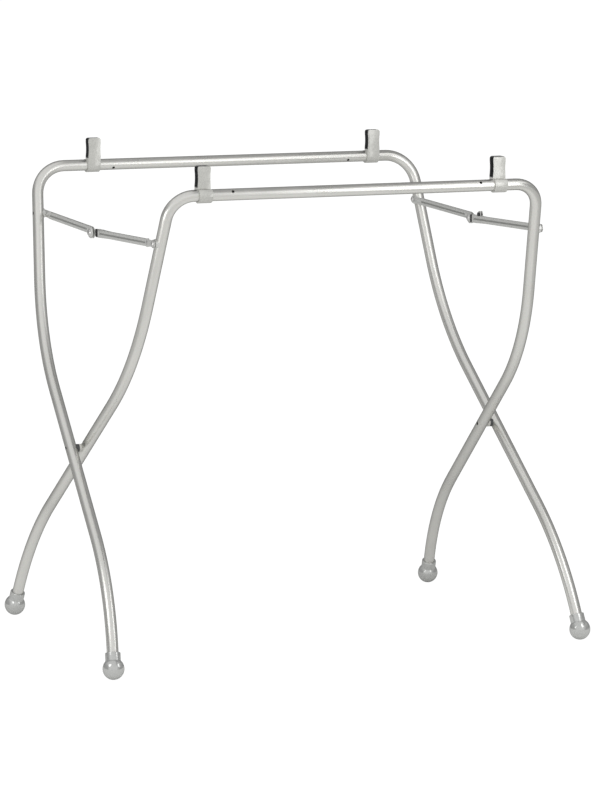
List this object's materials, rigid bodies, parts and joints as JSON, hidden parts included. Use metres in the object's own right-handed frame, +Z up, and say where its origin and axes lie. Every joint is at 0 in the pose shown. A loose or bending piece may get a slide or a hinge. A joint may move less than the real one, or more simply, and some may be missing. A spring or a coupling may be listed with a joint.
{
  "type": "baby bath stand",
  "caption": "Folding floor stand of crossed bent-tube frames with rim clips on the top bars, ball feet and folding side stays, for holding a baby bath at working height.",
  "frame": {"origin": "centre of the footprint, on the floor", "axes": "+X along the top bars, towards the user's right as they face the stand from the front; +Y from the front feet to the rear; +Z up"},
  "size_m": [0.9142, 0.6038, 0.8565],
  "materials": {
    "steel_tube": "satin silver",
    "grey_moulding": "gloss",
    "clip_plastic": "satin",
    "rivet_steel": "plain",
    "pale_washer": "satin",
    "dark_washer": "matte",
    "link_steel": "zinc plated",
    "bright_rivet": "bright",
    "black_plastic": "matte",
    "knob_plastic": "satin"
  },
  "bodies": {
    "outer_frame": {"outer_frame_tube": "steel_tube", "foot_front_left": "grey_moulding", "foot_front_right": "grey_moulding", "tub_clip_rear_left": "clip_plastic", "tub_clip_rear_right": "clip_plastic", "pivot_rivet_left": "rivet_steel", "pivot_rivet_right": "rivet_steel", "outer_pivot_washer_left": "dark_washer", "outer_pivot_washer_right": "dark_washer", "rear_anchor_rivet_left": "bright_rivet", "rear_anchor_rivet_right": "bright_rivet", "rear_anchor_washer_left": "link_steel", "rear_anchor_washer_right": "link_steel"},
    "inner_frame": {"inner_frame_tube": "steel_tube", "foot_rear_left": "grey_moulding", "foot_rear_right": "grey_moulding", "tub_clip_front_left": "clip_plastic", "tub_clip_front_right": "clip_plastic", "inner_pivot_washer_left": "pale_washer", "inner_pivot_washer_right": "pale_washer", "front_anchor_rivet_left": "bright_rivet", "front_anchor_rivet_right": "bright_rivet", "front_anchor_washer_left": "link_steel", "front_anchor_washer_right": "link_steel"},
    "rear_link_left": {"rear_link_left": "link_steel", "knuckle_rivet_left": "bright_rivet"},
    "front_link_left": {"front_link_left": "link_steel", "knuckle_rivet_tail_left": "bright_rivet", "stop_pad_left": "black_plastic"},
    "rear_link_right": {"rear_link_right": "link_steel", "knuckle_rivet_right": "bright_rivet"},
    "front_link_right": {"front_link_right": "link_steel", "knuckle_rivet_tail_right": "bright_rivet", "stop_pad_right": "black_plastic", "lock_knob_right": "knob_plastic"}
  },
  "joints": [
    {"name": "fold", "type": "hinge", "parent": "outer_frame", "child": "inner_frame", "pos_m": [0, 0, 0.34627], "axis": [-1, 0, 0], "range_deg": [0, 56]},
    {"name": "rear_link_left_turn", "type": "hinge", "parent": "outer_frame", "child": "rear_link_left", "pos_m": [-0.35984, 0.26088, 0.72696], "axis": [-1, 0, 0], "range_deg": [-72, 0]},
    {"name": "front_link_left_turn", "type": "hinge", "parent": "inner_frame", "child": "front_link_left", "pos_m": [-0.35984, -0.26088, 0.72696], "axis": [-1, 0, 0], "range_deg": [0, 28]},
    {"name": "rear_link_right_turn", "type": "hinge", "parent": "outer_frame", "child": "rear_link_right", "pos_m": [0.35984, 0.26088, 0.72696], "axis": [-1, 0, 0], "range_deg": [-72, 0]},
    {"name": "front_link_right_turn", "type": "hinge", "parent": "inner_frame", "child": "front_link_right", "pos_m": [0.35984, -0.26088, 0.72696], "axis": [-1, 0, 0], "range_deg": [0, 28]}
  ],
  "couplings": [
    {"joint": "rear_link_left_turn", "follows": "fold", "ratio": -1.2761},
    {"joint": "front_link_left_turn", "follows": "fold", "ratio": 0.48309},
    {"joint": "rear_link_right_turn", "follows": "fold", "ratio": -1.2761},
    {"joint": "front_link_right_turn", "follows": "fold", "ratio": 0.48309}
  ]
}
